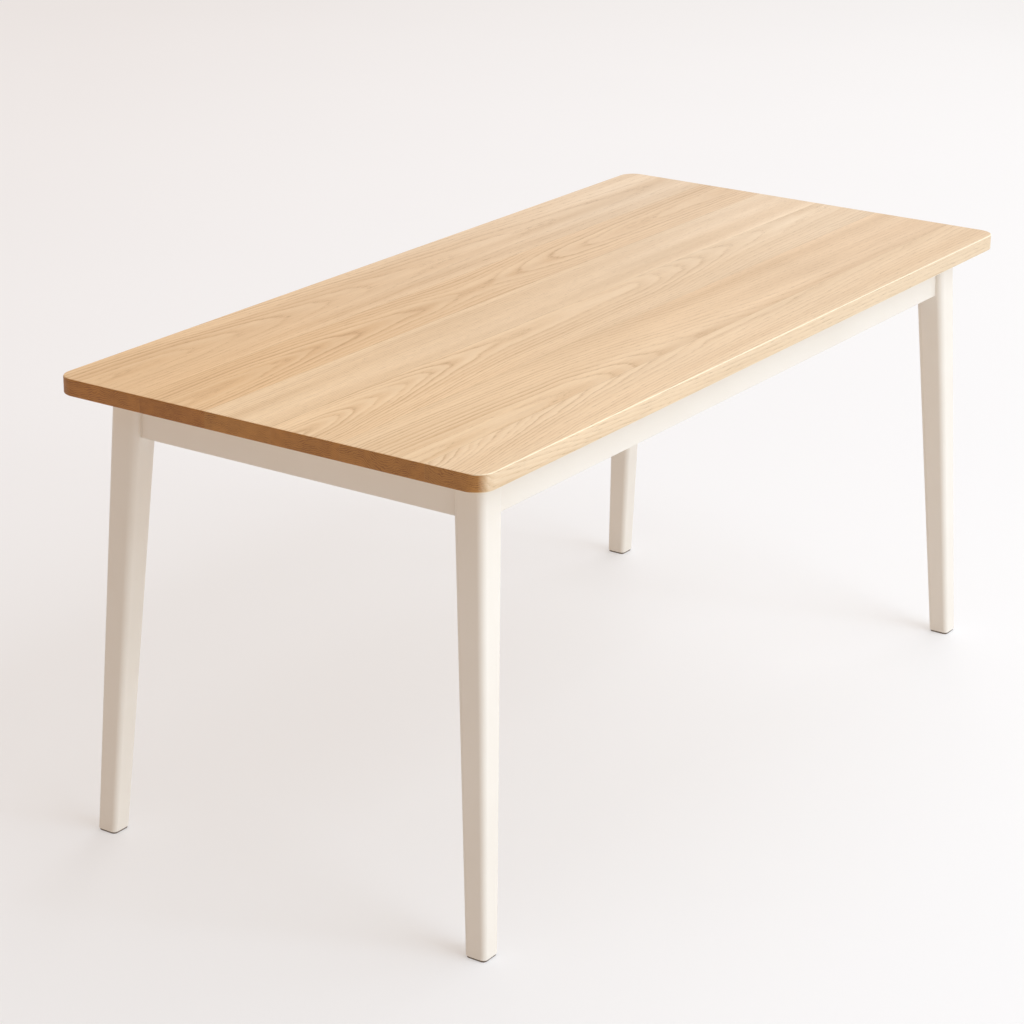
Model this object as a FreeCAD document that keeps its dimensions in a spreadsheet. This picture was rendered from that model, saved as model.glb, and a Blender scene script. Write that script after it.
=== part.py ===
import FreeCAD, Part
import math
import os
import Sketcher
from FreeCAD import Placement, Rotation, Vector

# A free-standing rectangular table: an edge-glued plank top with rounded corners, on four splayed,
# tapered legs that are joined by four aprons and a cross rail under the top.
# Millimetres. +X runs along the length, +Y across the width and +Z up. The origin is on the floor,
# under the middle of the top. The front is the long side at -Y, and left is the end at -X.

doc = FreeCAD.newDocument("Table")
sheet = doc.addObject("Spreadsheet::Sheet", "Sizes")
sizes = {
    "topLength": 1600,
    "topWidth": 770,
    "topHeight": 755,
    "topThickness": 27,
    "cornerRound": 30,
    "arrisRound": 2,
    "plankWidth1": 95,
    "plankWidth2": 145,
    "plankWidth3": 122,
    "plankWidth4": 120,
    "plankWidth5": 123,
    "plankWidth6": 165,
    "endOverhang": 68,
    "sideOverhang": 47,
    "legTop": 54,
    "legFoot": 37,
    "legTopRound": 12,
    "legFootRound": 8,
    "splayX": 36,
    "splayY": 34,
    "footChamfer": 1,
    "apronDepth": 73,
    "apronThick": 20,
    "apronSetback": 10,
    "apronArris": 1.5,
    "railThick": 20,
    "railDepth": 55,
    "blockNear": 50,
    "blockFar": 92,
    "blockHeight": 50,
    "blockDrop": 11,
    "blockScrewOut": 75,
    "blockScrewSpread": 13,
    "blockScrewSeat": 8,
    "counterbore": 9,
    "boltSize": 8,
    "boltLength": 100,
    "boltInLeg": 22,
    "boltClearance": 9,
    "washerOuter": 16,
    "washerBore": 8.4,
    "washerThick": 1.6,
    "nutAcrossFlats": 13,
    "nutHeight": 6.5,
    "dowelSize": 8,
    "dowelLength": 40,
    "dowelHigh": 18,
    "dowelLow": 55,
    "railDowelHigh": 15,
    "railDowelLow": 40,
    "railDowelInApron": 12,
    "drillOverrun": 12,
    "screwSize": 4,
    "screwLength": 25,
    "screwHead": 8,
    "screwHeadHeight": 2.5,
    "clipScrewLength": 18,
    "clipWide": 20,
    "clipThick": 2,
    "clipTongue": 7,
    "clipRiser": 10,
    "clipReach": 34,
    "clipHoleOut": 24,
    "clipHole": 4.5,
    "clipSlotDeep": 8,
    "clipSlotTall": 3,
    "clipSlotWide": 22,
    "clipDrop": 10,
    "clipNearX": 210,
    "clipFarX": 520,
    "clipY": 170,
    "railClipY": 120,
    "padThickness": 3,
    "padSide": 34,
    "padRound": 6.5,
    "padArris": 0.8,
    "padScrewSize": 3.5,
    "padScrewHead": 7,
    "padScrewLength": 18,
    "padScrewRecess": 0.8,
    "dowelChamfer": 1,
    "boltChamfer": 1,
    "boltPoint": 5,
    "boltPointRadius": 1.5,
    "screwPoint": 3,
    "screwPointRadius": 0.5,
    "screwHeadRound": 1.2,
}
for row, (alias, amount) in enumerate(sizes.items(), start=1):
    sheet.set(f"A{row}", alias)
    sheet.set(f"B{row}", str(amount))
    sheet.setAlias(f"B{row}", alias)
doc.recompute()

plankCount = 6
tolerance = 0.01
corners = {  # sign along X, sign along Y, and the turn of what sits inside the corner
    "front_left": (-1, -1, 0),
    "front_right": (1, -1, 90),
    "back_right": (1, 1, 180),
    "back_left": (-1, 1, 270),
}
parts = {}

# Places that several pieces share, as expressions on the sheet.
legTopZ = "(Sizes.topHeight - Sizes.topThickness)"
legHeight = f"({legTopZ} - Sizes.padThickness)"
legMidX = "(Sizes.topLength / 2 - Sizes.endOverhang - Sizes.legTop / 2)"
legMidY = "(Sizes.topWidth / 2 - Sizes.sideOverhang - Sizes.legTop / 2)"
legShrink = "(Sizes.legTop - Sizes.legFoot)"
apronMidX = "(Sizes.topLength / 2 - Sizes.endOverhang - Sizes.apronSetback - Sizes.apronThick / 2)"
apronMidY = "(Sizes.topWidth / 2 - Sizes.sideOverhang - Sizes.apronSetback - Sizes.apronThick / 2)"
apronInX = f"({apronMidX} - Sizes.apronThick / 2)"
apronInY = f"({apronMidY} - Sizes.apronThick / 2)"
blockMidZ = f"({legTopZ} - Sizes.blockDrop - Sizes.blockHeight / 2)"
slotTopZ = f"({legTopZ} - Sizes.clipDrop)"
screwInApron = "(Sizes.screwLength - Sizes.blockScrewSeat)"
screwInTop = "(Sizes.clipScrewLength - Sizes.clipThick)"
dowelDrops = ("Sizes.dowelHigh", "Sizes.dowelLow")
railDowelDrops = ("Sizes.railDowelHigh", "Sizes.railDowelLow")
clipsOnLong = ("-1 * Sizes.clipNearX", "-1 * Sizes.clipFarX", "Sizes.clipNearX", "Sizes.clipFarX")
clipsOnEnd = ("-1 * Sizes.clipY", "Sizes.clipY")
clipsOnRail = ("-1 * Sizes.railClipY", "Sizes.railClipY")


def value(expression):
    return float(sheet.evalExpression(expression))


def bind(thing, links):
    for path, expression in links.items():
        thing.setExpression(path, expression)


def bindBase(thing, spot):
    bind(thing, {f"Placement.Base.{axis}": place for axis, place in zip("xyz", spot)})


# The leg's two inner faces lean out towards the foot, so the aprons end on a slope.
def innerFaceX(drop):
    lean = f"(Sizes.splayX + {legShrink}) * ({drop}) / {legHeight}"
    return f"({legMidX} - Sizes.legTop / 2 + {lean})"


def innerFaceY(drop):
    lean = f"(Sizes.splayY + {legShrink}) * ({drop}) / {legHeight}"
    return f"({legMidY} - Sizes.legTop / 2 + {lean})"


def newBody(label, spot=("0", "0", "0"), turn=0):
    body = doc.addObject("PartDesign::Body", label)
    body.Label = label
    body.Placement = Placement(Vector(), Rotation(Vector(0, 0, 1), turn))
    bindBase(body, spot)
    return body


def newSketch(body, plane, lift="0", shift=("0", "0")):
    sketch = body.newObject("Sketcher::SketchObject", "Outline")
    support = next(feature for feature in body.Origin.OriginFeatures if feature.Role == plane)
    sketch.AttachmentSupport = [(support, "")]
    sketch.MapMode = "FlatFace"
    bind(sketch, {
        "AttachmentOffset.Base.x": shift[0],
        "AttachmentOffset.Base.y": shift[1],
        "AttachmentOffset.Base.z": lift,
    })
    return sketch


def hold(sketch, kind, *places, name, expression):
    index = sketch.addConstraint(Sketcher.Constraint(kind, *places, value(expression)))
    sketch.renameConstraint(index, name)
    sketch.setExpression(f"Constraints.{name}", expression)


# A closed outline with straight sides. Every corner is held at its own X and Y.
def polygon(sketch, spots):
    points = [Vector(value(across), value(up), 0) for across, up in spots]
    first = sketch.GeometryCount
    for start, end in zip(points, points[1:] + points[:1]):
        sketch.addGeometry(Part.LineSegment(start, end))
    for side, (across, up) in enumerate(spots):
        following = first + (side + 1) % len(spots)
        sketch.addConstraint(Sketcher.Constraint("Coincident", first + side, 2, following, 1))
        hold(sketch, "DistanceX", -1, 1, first + side, 1, name=f"across{side}", expression=across)
        hold(sketch, "DistanceY", -1, 1, first + side, 1, name=f"up{side}", expression=up)


def circle(sketch, radius):
    index = sketch.addGeometry(Part.Circle(Vector(), Vector(0, 0, 1), value(radius)))
    sketch.addConstraint(Sketcher.Constraint("Coincident", index, 3, -1, 1))
    hold(sketch, "Radius", index, name=f"radius{index}", expression=radius)


# A square about the sketch's origin, with its four corners rounded.
def roundedSquare(sketch, side, radius):
    half = value(side) / 2
    rounding = value(radius)
    inner = half - rounding
    for quarter in range(4):
        turn = Rotation(Vector(0, 0, 1), 90 * quarter)
        start = turn.multVec(Vector(-inner, -half, 0))
        end = turn.multVec(Vector(inner, -half, 0))
        centre = turn.multVec(Vector(inner, -inner, 0))
        sketch.addGeometry(Part.LineSegment(start, end))
        opening = math.radians(90 * quarter - 90)
        rim = Part.Circle(centre, Vector(0, 0, 1), rounding)
        sketch.addGeometry(Part.ArcOfCircle(rim, opening, opening + math.pi / 2))
    for piece in range(8):
        sketch.addConstraint(Sketcher.Constraint("Tangent", piece, 2, (piece + 1) % 8, 1))
    for flat, upright in ((0, 2), (4, 6)):
        sketch.addConstraint(Sketcher.Constraint("Horizontal", flat))
        sketch.addConstraint(Sketcher.Constraint("Vertical", upright))
    for arc in (3, 5, 7):
        sketch.addConstraint(Sketcher.Constraint("Equal", 1, arc))
    hold(sketch, "Radius", 1, name="rounding", expression=radius)
    hold(sketch, "DistanceY", 0, 1, -1, 1, name="low", expression=f"{side} / 2")
    hold(sketch, "DistanceX", -1, 1, 2, 1, name="right", expression=f"{side} / 2")
    hold(sketch, "DistanceY", -1, 1, 4, 1, name="high", expression=f"{side} / 2")
    hold(sketch, "DistanceX", 6, 1, -1, 1, name="left", expression=f"{side} / 2")


def pad(body, sketch, length, sideType="One side"):
    solid = body.newObject("PartDesign::Pad", "Pad")
    solid.Profile = sketch
    solid.SideType = sideType
    bind(solid, {"Length": length})
    doc.recompute()
    return solid


def revolve(body, spots):
    sketch = newSketch(body, "XZ_Plane")
    polygon(sketch, spots)
    turned = body.newObject("PartDesign::Revolution", "Turned")
    turned.Profile = sketch
    turned.ReferenceAxis = (sketch, ["V_Axis"])
    turned.Angle = 360
    doc.recompute()


def ease(body, kind, edges, size):
    feature = body.newObject(f"PartDesign::{kind}", kind)
    feature.Base = (body.Group[-2], edges)
    bind(feature, {"Radius" if kind == "Fillet" else "Size": size})
    body.Tip = feature
    doc.recompute()


def edgesWhere(shape, test):
    return [f"Edge{number}" for number, edge in enumerate(shape.Edges, start=1) if test(edge)]


def drill(body, spot, towards, diameter, depth):
    hole = body.newObject("PartDesign::SubtractiveCylinder", "Hole")
    hole.Placement = Placement(Vector(), Rotation(Vector(0, 0, 1), Vector(*towards)))
    bindBase(hole, spot)
    bind(hole, {"Radius": f"({diameter}) / 2", "Height": depth})


def slot(body, spot, lengths):
    cut = body.newObject("PartDesign::SubtractiveBox", "Slot")
    bindBase(cut, spot)
    bind(cut, dict(zip(("Length", "Width", "Height"), lengths)))


# Identical small pieces are placed copies of one master, gathered in one node.
def gather(label, master, places):
    copies = []
    for place in places:
        copy = doc.addObject("App::Link", f"{label}_copy")
        copy.LinkedObject = master
        copy.Placement = place
        copies.append(copy)
    group = doc.addObject("Part::Compound", label)
    group.Label = label
    group.Links = copies
    parts[label] = group


def placeAt(spot, rotation):
    return Placement(Vector(*(value(place) for place in spot)), rotation)


def pointing(towards):
    return Rotation(Vector(0, 0, 1), Vector(*towards))


# Top: six oak planks, glued edge to edge. The outer two carry the rounded corners.
def buildPlank(number):
    widths = [f"Sizes.plankWidth{index}" for index in range(1, plankCount + 1)]
    before = " + ".join(["0"] + widths[:number - 1])
    width = widths[number - 1]
    frontY = f"({before} - Sizes.topWidth / 2)"
    body = newBody(f"top_plank_{number}", ("0", frontY, legTopZ))
    outline = newSketch(body, "XY_Plane")
    halfLength = "Sizes.topLength / 2"
    polygon(outline, (
        (f"-{halfLength}", "0"),
        (halfLength, "0"),
        (halfLength, width),
        (f"-{halfLength}", width),
    ))
    plank = pad(body, outline, "Sizes.topThickness")
    jointSides = []
    if number > 1:
        jointSides.append(0)
    if number < plankCount:
        jointSides.append(value(width))

    def onJoint(edge):
        box = edge.BoundBox
        return box.YLength < tolerance and any(abs(box.YMin - side) < tolerance for side in jointSides)

    def isUpright(edge):
        return edge.BoundBox.ZLength > tolerance and not onJoint(edge)

    def isOuterRim(edge):
        return edge.BoundBox.ZLength < tolerance and not onJoint(edge)

    if len(jointSides) == 1:
        ease(body, "Fillet", edgesWhere(plank.Shape, isUpright), "Sizes.cornerRound")
    ease(body, "Fillet", edgesWhere(body.Tip.Shape, isOuterRim), "Sizes.arrisRound")
    low = value(frontY)
    for spot in clipHoleSpots():
        if low < value(spot[1]) < low + value(width):
            local = (spot[0], f"{spot[1]} - {frontY}", "0")
            drill(body, local, (0, 0, 1), "Sizes.screwSize", screwInTop)
    parts[body.Label] = body


# Every clip: where its tongue enters the wood, and the way its flange points.
def clipStations():
    stations = []
    for side in (-1, 1):
        stations += [((x, f"{side} * {apronInY}", legTopZ), (0, -side)) for x in clipsOnLong]
        stations += [((f"{side} * {apronInX}", y, legTopZ), (-side, 0)) for y in clipsOnEnd]
    stations += [(("Sizes.railThick / 2", y, legTopZ), (1, 0)) for y in clipsOnRail]
    return stations


def clipHoleSpots():
    spots = []
    for (x, y, z), (wayX, wayY) in clipStations():
        holeX = f"({x} + {wayX} * Sizes.clipHoleOut)"
        holeY = f"({y} + {wayY} * Sizes.clipHoleOut)"
        spots.append((holeX, holeY, z))
    return spots


# Leg: a rounded square that tapers to the foot, while its outer corner leans out both ways.
def buildLeg(corner, signX, signY):
    body = newBody(f"leg_{corner}", (f"{signX} * {legMidX}", f"{signY} * {legMidY}", "0"))
    head = newSketch(body, "XY_Plane", lift=legTopZ)
    roundedSquare(head, "Sizes.legTop", "Sizes.legTopRound")
    shiftX = f"{signX} * (Sizes.splayX + {legShrink} / 2)"
    shiftY = f"{signY} * (Sizes.splayY + {legShrink} / 2)"
    foot = newSketch(body, "XY_Plane", lift="Sizes.padThickness", shift=(shiftX, shiftY))
    roundedSquare(foot, "Sizes.legFoot", "Sizes.legFootRound")
    loft = body.newObject("PartDesign::AdditiveLoft", "Taper")
    loft.Profile = head
    loft.Sections = [foot]
    loft.Ruled = True
    doc.recompute()
    footZ = value("Sizes.padThickness")
    rim = edgesWhere(loft.Shape, lambda edge: abs(edge.BoundBox.ZMax - footZ) < tolerance)
    ease(body, "Chamfer", rim, "Sizes.footChamfer")
    bored = "(Sizes.dowelLength / 2 + Sizes.drillOverrun)"
    for drop in dowelDrops:
        level = f"{legTopZ} - {drop}"
        endX = f"{signX} * ({innerFaceX(drop)} + Sizes.dowelLength / 2 - {legMidX})"
        endY = f"{signY} * ({innerFaceY(drop)} + Sizes.dowelLength / 2 - {legMidY})"
        sideX = f"{signX} * ({apronMidX} - {legMidX})"
        sideY = f"{signY} * ({apronMidY} - {legMidY})"
        drill(body, (endX, sideY, level), (-signX, 0, 0), "Sizes.dowelSize", bored)
        drill(body, (sideX, endY, level), (0, -signY, 0), "Sizes.dowelSize", bored)
    boltX = f"{signX} * ({apronInX} + Sizes.boltInLeg / sqrt(2) - {legMidX})"
    boltY = f"{signY} * ({apronInY} + Sizes.boltInLeg / sqrt(2) - {legMidY})"
    drill(body, (boltX, boltY, blockMidZ), (-signX, -signY, 0), "Sizes.boltSize", "Sizes.boltLength")
    drill(body, (shiftX, shiftY, "0"), (0, 0, 1), "Sizes.padScrewSize", "Sizes.padScrewLength")
    parts[body.Label] = body


# Apron: a board with sloping ends, set back from the legs' faces. axis is the way it runs.
def buildApron(label, axis, side):
    alongX = axis == "X"

    def local(along, out, up):
        outward = f"{side} * ({out})"
        return (along, outward, up) if alongX else (outward, along, up)

    innerFace = innerFaceX if alongX else innerFaceY
    mid = f"{side} * {apronMidY if alongX else apronMidX}"
    body = newBody(label, ("0", mid, "0") if alongX else (mid, "0", "0"))
    outline = newSketch(body, "XZ_Plane" if alongX else "YZ_Plane")
    bottom = f"({legTopZ} - Sizes.apronDepth)"
    endAtBottom = innerFace("Sizes.apronDepth")
    endAtTop = innerFace("0")
    polygon(outline, (
        (f"-{endAtBottom}", bottom),
        (endAtBottom, bottom),
        (endAtTop, legTopZ),
        (f"-{endAtTop}", legTopZ),
    ))
    board = pad(body, outline, "Sizes.apronThick", "Symmetric")
    lowest = value(bottom)

    def isLowerArris(edge):
        box = edge.BoundBox
        isLong = max(box.XLength, box.YLength) > value("Sizes.apronDepth")
        return isLong and abs(box.ZMax - lowest) < tolerance

    ease(body, "Fillet", edgesWhere(board.Shape, isLowerArris), "Sizes.apronArris")
    inner = "-Sizes.apronThick / 2"
    outward = (0, side, 0) if alongX else (side, 0, 0)
    for end in (-1, 1):
        alongEnd = (end, 0, 0) if alongX else (0, end, 0)
        for drop in dowelDrops:
            start = f"{end} * ({innerFace(drop)} - Sizes.dowelLength / 2)"
            depth = "Sizes.dowelLength / 2 + Sizes.drillOverrun"
            drill(body, local(start, "0", f"{legTopZ} - {drop}"), alongEnd, "Sizes.dowelSize", depth)
        for spread in (-1, 1):
            along = f"{end} * ({apronInX if alongX else apronInY} - Sizes.blockScrewOut)"
            level = f"{blockMidZ} + {spread} * Sizes.blockScrewSpread"
            drill(body, local(along, inner, level), outward, "Sizes.screwSize", screwInApron)
    innerLow = inner if side > 0 else "Sizes.apronThick / 2 - Sizes.clipSlotDeep"
    for along in clipsOnLong if alongX else clipsOnEnd:
        start = f"{along} - Sizes.clipSlotWide / 2"
        spot = (start, innerLow) if alongX else (innerLow, start)
        plan = ("Sizes.clipSlotWide", "Sizes.clipSlotDeep")
        lengths = plan if alongX else plan[::-1]
        slot(body, (*spot, f"{slotTopZ} - Sizes.clipSlotTall"), (*lengths, "Sizes.clipSlotTall"))
    if alongX:
        for drop in railDowelDrops:
            drill(body, local("0", inner, f"{legTopZ} - {drop}"), outward, "Sizes.dowelSize",
                  "Sizes.railDowelInApron")
    parts[label] = body


# Cross rail: a plain board between the long aprons, half way along.
def buildCrossRail():
    body = newBody("cross_rail")
    outline = newSketch(body, "YZ_Plane")
    bottom = f"({legTopZ} - Sizes.railDepth)"
    polygon(outline, (
        (f"-{apronInY}", bottom),
        (apronInY, bottom),
        (apronInY, legTopZ),
        (f"-{apronInY}", legTopZ),
    ))
    pad(body, outline, "Sizes.railThick", "Symmetric")
    inRail = "(Sizes.dowelLength - Sizes.railDowelInApron)"
    for end in (-1, 1):
        for drop in railDowelDrops:
            spot = ("0", f"{end} * ({apronInY} - {inRail})", f"{legTopZ} - {drop}")
            drill(body, spot, (0, end, 0), "Sizes.dowelSize", inRail)
    for y in clipsOnRail:
        spot = ("Sizes.railThick / 2 - Sizes.clipSlotDeep", f"{y} - Sizes.clipSlotWide / 2",
                f"{slotTopZ} - Sizes.clipSlotTall")
        slot(body, spot, ("Sizes.clipSlotDeep", "Sizes.clipSlotWide", "Sizes.clipSlotTall"))
    parts["cross_rail"] = body


# Corner block: a wedge across each inner corner. X and Y of its own run along the two aprons.
def buildCornerBlock(corner, signX, signY, turn):
    spot = (f"{signX} * {apronInX}", f"{signY} * {apronInY}", "0")
    body = newBody(f"corner_block_{corner}", spot, turn)
    outline = newSketch(body, "XY_Plane", lift=f"{blockMidZ} - Sizes.blockHeight / 2")
    polygon(outline, (
        ("Sizes.blockNear", "0"),
        ("Sizes.blockFar", "0"),
        ("0", "Sizes.blockFar"),
        ("0", "Sizes.blockNear"),
    ))
    pad(body, outline, "Sizes.blockHeight")
    drill(body, ("0", "0", blockMidZ), (1, 1, 0), "Sizes.boltClearance", "Sizes.boltLength")
    for spread in (-1, 1):
        level = f"{blockMidZ} + {spread} * Sizes.blockScrewSpread"
        out = "Sizes.blockScrewOut"
        seat = "Sizes.blockScrewSeat"
        drill(body, (out, "0", level), (0, 1, 0), "Sizes.screwSize", seat)
        drill(body, (out, seat, level), (0, 1, 0), "Sizes.counterbore", "Sizes.blockFar")
        drill(body, ("0", out, level), (1, 0, 0), "Sizes.screwSize", seat)
        drill(body, (seat, out, level), (1, 0, 0), "Sizes.counterbore", "Sizes.blockFar")
    parts[body.Label] = body


# Foot pad: a thin square glide under each foot, with a countersunk screw up into the leg.
def buildFootPad(corner, signX, signY):
    spot = (f"{signX} * ({legMidX} + Sizes.splayX + {legShrink} / 2)",
            f"{signY} * ({legMidY} + Sizes.splayY + {legShrink} / 2)", "0")
    body = newBody(f"foot_pad_{corner}", spot)
    outline = newSketch(body, "XY_Plane")
    roundedSquare(outline, "Sizes.padSide", "Sizes.padRound")
    slab = pad(body, outline, "Sizes.padThickness")
    rim = edgesWhere(slab.Shape, lambda edge: edge.BoundBox.ZMax < tolerance)
    ease(body, "Fillet", rim, "Sizes.padArris")
    drill(body, ("0", "0", "0"), (0, 0, 1), "Sizes.padScrewHead", "Sizes.padScrewRecess")
    sink = body.newObject("PartDesign::SubtractiveCone", "Countersink")
    bindBase(sink, ("0", "0", "Sizes.padScrewRecess"))
    bind(sink, {
        "Radius1": "Sizes.padScrewHead / 2",
        "Radius2": "Sizes.padScrewSize / 2",
        "Height": "(Sizes.padScrewHead - Sizes.padScrewSize) / 2",
    })
    drill(body, ("0", "0", "0"), (0, 0, 1), "Sizes.padScrewSize", "Sizes.padThickness")
    parts[body.Label] = body


# Masters that are turned, such as dowels and screws, stand on the origin with their axis along Z.
def dowelMaster():
    body = newBody("dowelMaster")
    radius = "Sizes.dowelSize / 2"
    tip = f"{radius} - Sizes.dowelChamfer"
    length = "Sizes.dowelLength"
    revolve(body, (
        ("0", "0"),
        (tip, "0"),
        (radius, "Sizes.dowelChamfer"),
        (radius, f"{length} - Sizes.dowelChamfer"),
        (tip, length),
        ("0", length),
    ))
    return body


def boltMaster():
    body = newBody("boltMaster")
    radius = "Sizes.boltSize / 2"
    length = "Sizes.boltLength"
    revolve(body, (
        ("0", "0"),
        ("Sizes.boltPointRadius", "0"),
        (radius, "Sizes.boltPoint"),
        (radius, f"{length} - Sizes.boltChamfer"),
        (f"{radius} - Sizes.boltChamfer", length),
        ("0", length),
    ))
    return body


# A pan-head screw: the head's seat is at Z = 0 and the shank runs up to its tip.
def screwMaster(label, length):
    body = newBody(label)
    radius = "Sizes.screwSize / 2"
    head = "Sizes.screwHead / 2"
    crown = "Sizes.screwHeadHeight"
    revolve(body, (
        ("0", f"-{crown}"),
        (f"{head} - Sizes.screwHeadRound", f"-{crown}"),
        (head, f"Sizes.screwHeadRound - {crown}"),
        (head, "0"),
        (radius, "0"),
        (radius, f"{length} - Sizes.screwPoint"),
        ("Sizes.screwPointRadius", length),
        ("0", length),
    ))
    return body


def padScrewMaster():
    body = newBody("padScrewMaster")
    radius = "Sizes.padScrewSize / 2"
    head = "Sizes.padScrewHead / 2"
    length = "Sizes.padScrewLength"
    start = "Sizes.padScrewRecess"
    revolve(body, (
        ("0", start),
        (head, start),
        (radius, f"{start} + {head} - {radius}"),
        (radius, f"{length} - Sizes.screwPoint"),
        ("Sizes.screwPointRadius", length),
        ("0", length),
    ))
    return body


def washerMaster():
    body = newBody("washerMaster")
    outline = newSketch(body, "XY_Plane")
    circle(outline, "Sizes.washerOuter / 2")
    circle(outline, "Sizes.washerBore / 2")
    pad(body, outline, "Sizes.washerThick")
    return body


def nutMaster():
    body = newBody("nutMaster")
    outline = newSketch(body, "XY_Plane")
    reach = "Sizes.nutAcrossFlats / sqrt(3)"
    turns = [f"{60 * flat} deg" for flat in range(6)]
    polygon(outline, [(f"{reach} * cos({turn})", f"{reach} * sin({turn})") for turn in turns])
    circle(outline, "Sizes.boltSize / 2")
    pad(body, outline, "Sizes.nutHeight")
    return body


# A clip bent to a Z: X = 0 is the wood's inner face, and Z = 0 is the underside of the top.
def clipMaster():
    body = newBody("clipMaster")
    outline = newSketch(body, "XZ_Plane")
    thick = "Sizes.clipThick"
    low = "-Sizes.clipDrop"
    riser = "Sizes.clipRiser"
    reach = "Sizes.clipReach"
    polygon(outline, (
        ("-Sizes.clipTongue", f"{low} - {thick}"),
        (f"{riser} + {thick}", f"{low} - {thick}"),
        (f"{riser} + {thick}", f"-{thick}"),
        (reach, f"-{thick}"),
        (reach, "0"),
        (riser, "0"),
        (riser, low),
        ("-Sizes.clipTongue", low),
    ))
    pad(body, outline, "Sizes.clipWide", "Symmetric")
    drill(body, ("Sizes.clipHoleOut", "0", f"-{thick}"), (0, 0, 1), "Sizes.clipHole", thick)
    return body


def gatherDowels():
    places = []
    for signX, signY, _ in corners.values():
        for drop in dowelDrops:
            level = f"{legTopZ} - {drop}"
            startX = f"{signX} * ({innerFaceX(drop)} - Sizes.dowelLength / 2)"
            startY = f"{signY} * ({innerFaceY(drop)} - Sizes.dowelLength / 2)"
            places.append(placeAt((startX, f"{signY} * {apronMidY}", level), pointing((signX, 0, 0))))
            places.append(placeAt((f"{signX} * {apronMidX}", startY, level), pointing((0, signY, 0))))
    for end in (-1, 1):
        for drop in railDowelDrops:
            start = f"{end} * ({apronInY} + Sizes.railDowelInApron - Sizes.dowelLength)"
            places.append(placeAt(("0", start, f"{legTopZ} - {drop}"), pointing((0, end, 0))))
    gather("dowels", dowelMaster(), places)


def gatherCornerBolts():
    ranks = {
        "hanger_bolts": (boltMaster(), "-Sizes.boltInLeg"),
        "hanger_bolt_washers": (washerMaster(), "Sizes.blockFar / sqrt(2)"),
        "hanger_bolt_nuts": (nutMaster(), "Sizes.blockFar / sqrt(2) + Sizes.washerThick"),
    }
    for label, (master, along) in ranks.items():
        places = []
        for signX, signY, _ in corners.values():
            spot = (f"{signX} * ({apronInX} - ({along}) / sqrt(2))",
                    f"{signY} * ({apronInY} - ({along}) / sqrt(2))", blockMidZ)
            places.append(placeAt(spot, pointing((-signX, -signY, 0))))
        gather(label, master, places)


def gatherBlockScrews():
    places = []
    for signX, signY, _ in corners.values():
        for spread in (-1, 1):
            level = f"{blockMidZ} + {spread} * Sizes.blockScrewSpread"
            farX = f"{signX} * ({apronInX} - Sizes.blockScrewOut)"
            seatY = f"{signY} * ({apronInY} - Sizes.blockScrewSeat)"
            places.append(placeAt((farX, seatY, level), pointing((0, signY, 0))))
            seatX = f"{signX} * ({apronInX} - Sizes.blockScrewSeat)"
            farY = f"{signY} * ({apronInY} - Sizes.blockScrewOut)"
            places.append(placeAt((seatX, farY, level), pointing((signX, 0, 0))))
    gather("corner_block_screws", screwMaster("blockScrewMaster", "Sizes.screwLength"), places)


def gatherClips():
    clipPlaces = []
    for spot, way in clipStations():
        clipPlaces.append(placeAt(spot, Rotation(Vector(1, 0, 0), Vector(*way, 0))))
    gather("top_clips", clipMaster(), clipPlaces)
    underClip = f"{legTopZ} - Sizes.clipThick"
    screwPlaces = [placeAt((x, y, underClip), Rotation()) for x, y, _ in clipHoleSpots()]
    gather("top_clip_screws", screwMaster("clipScrewMaster", "Sizes.clipScrewLength"), screwPlaces)


def gatherPadScrews():
    places = []
    for signX, signY, _ in corners.values():
        spot = (f"{signX} * ({legMidX} + Sizes.splayX + {legShrink} / 2)",
                f"{signY} * ({legMidY} + Sizes.splayY + {legShrink} / 2)", "0")
        places.append(placeAt(spot, Rotation()))
    gather("foot_pad_screws", padScrewMaster(), places)


for plankNumber in range(1, plankCount + 1):
    buildPlank(plankNumber)
for cornerName, (cornerX, cornerY, cornerTurn) in corners.items():
    buildLeg(cornerName, cornerX, cornerY)
    buildCornerBlock(cornerName, cornerX, cornerY, cornerTurn)
    buildFootPad(cornerName, cornerX, cornerY)
buildApron("apron_front", "X", -1)
buildApron("apron_back", "X", 1)
buildApron("apron_left", "Y", -1)
buildApron("apron_right", "Y", 1)
buildCrossRail()
gatherDowels()
gatherCornerBolts()
gatherBlockScrews()
gatherClips()
gatherPadScrews()
doc.recompute()

failed = [thing.Label for thing in doc.Objects if {"Invalid", "Error"} & set(thing.State)]
if failed:
    raise SystemExit(f"failed objects: {failed}")
for label, piece in parts.items():
    if piece.Shape.isNull() or not piece.Shape.isValid() or not piece.Shape.Solids:
        raise SystemExit(f"{label} has no valid solid")

os.makedirs("parts", exist_ok=True)
for label, piece in parts.items():
    piece.Shape.exportStep(f"parts/{label}.step")
    print(f"{label}: {len(piece.Shape.Solids)} solid(s), {piece.Shape.Volume / 1000:.1f} cm3")
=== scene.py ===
import math
import bmesh
import bpy
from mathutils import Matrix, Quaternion, Vector


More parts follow.
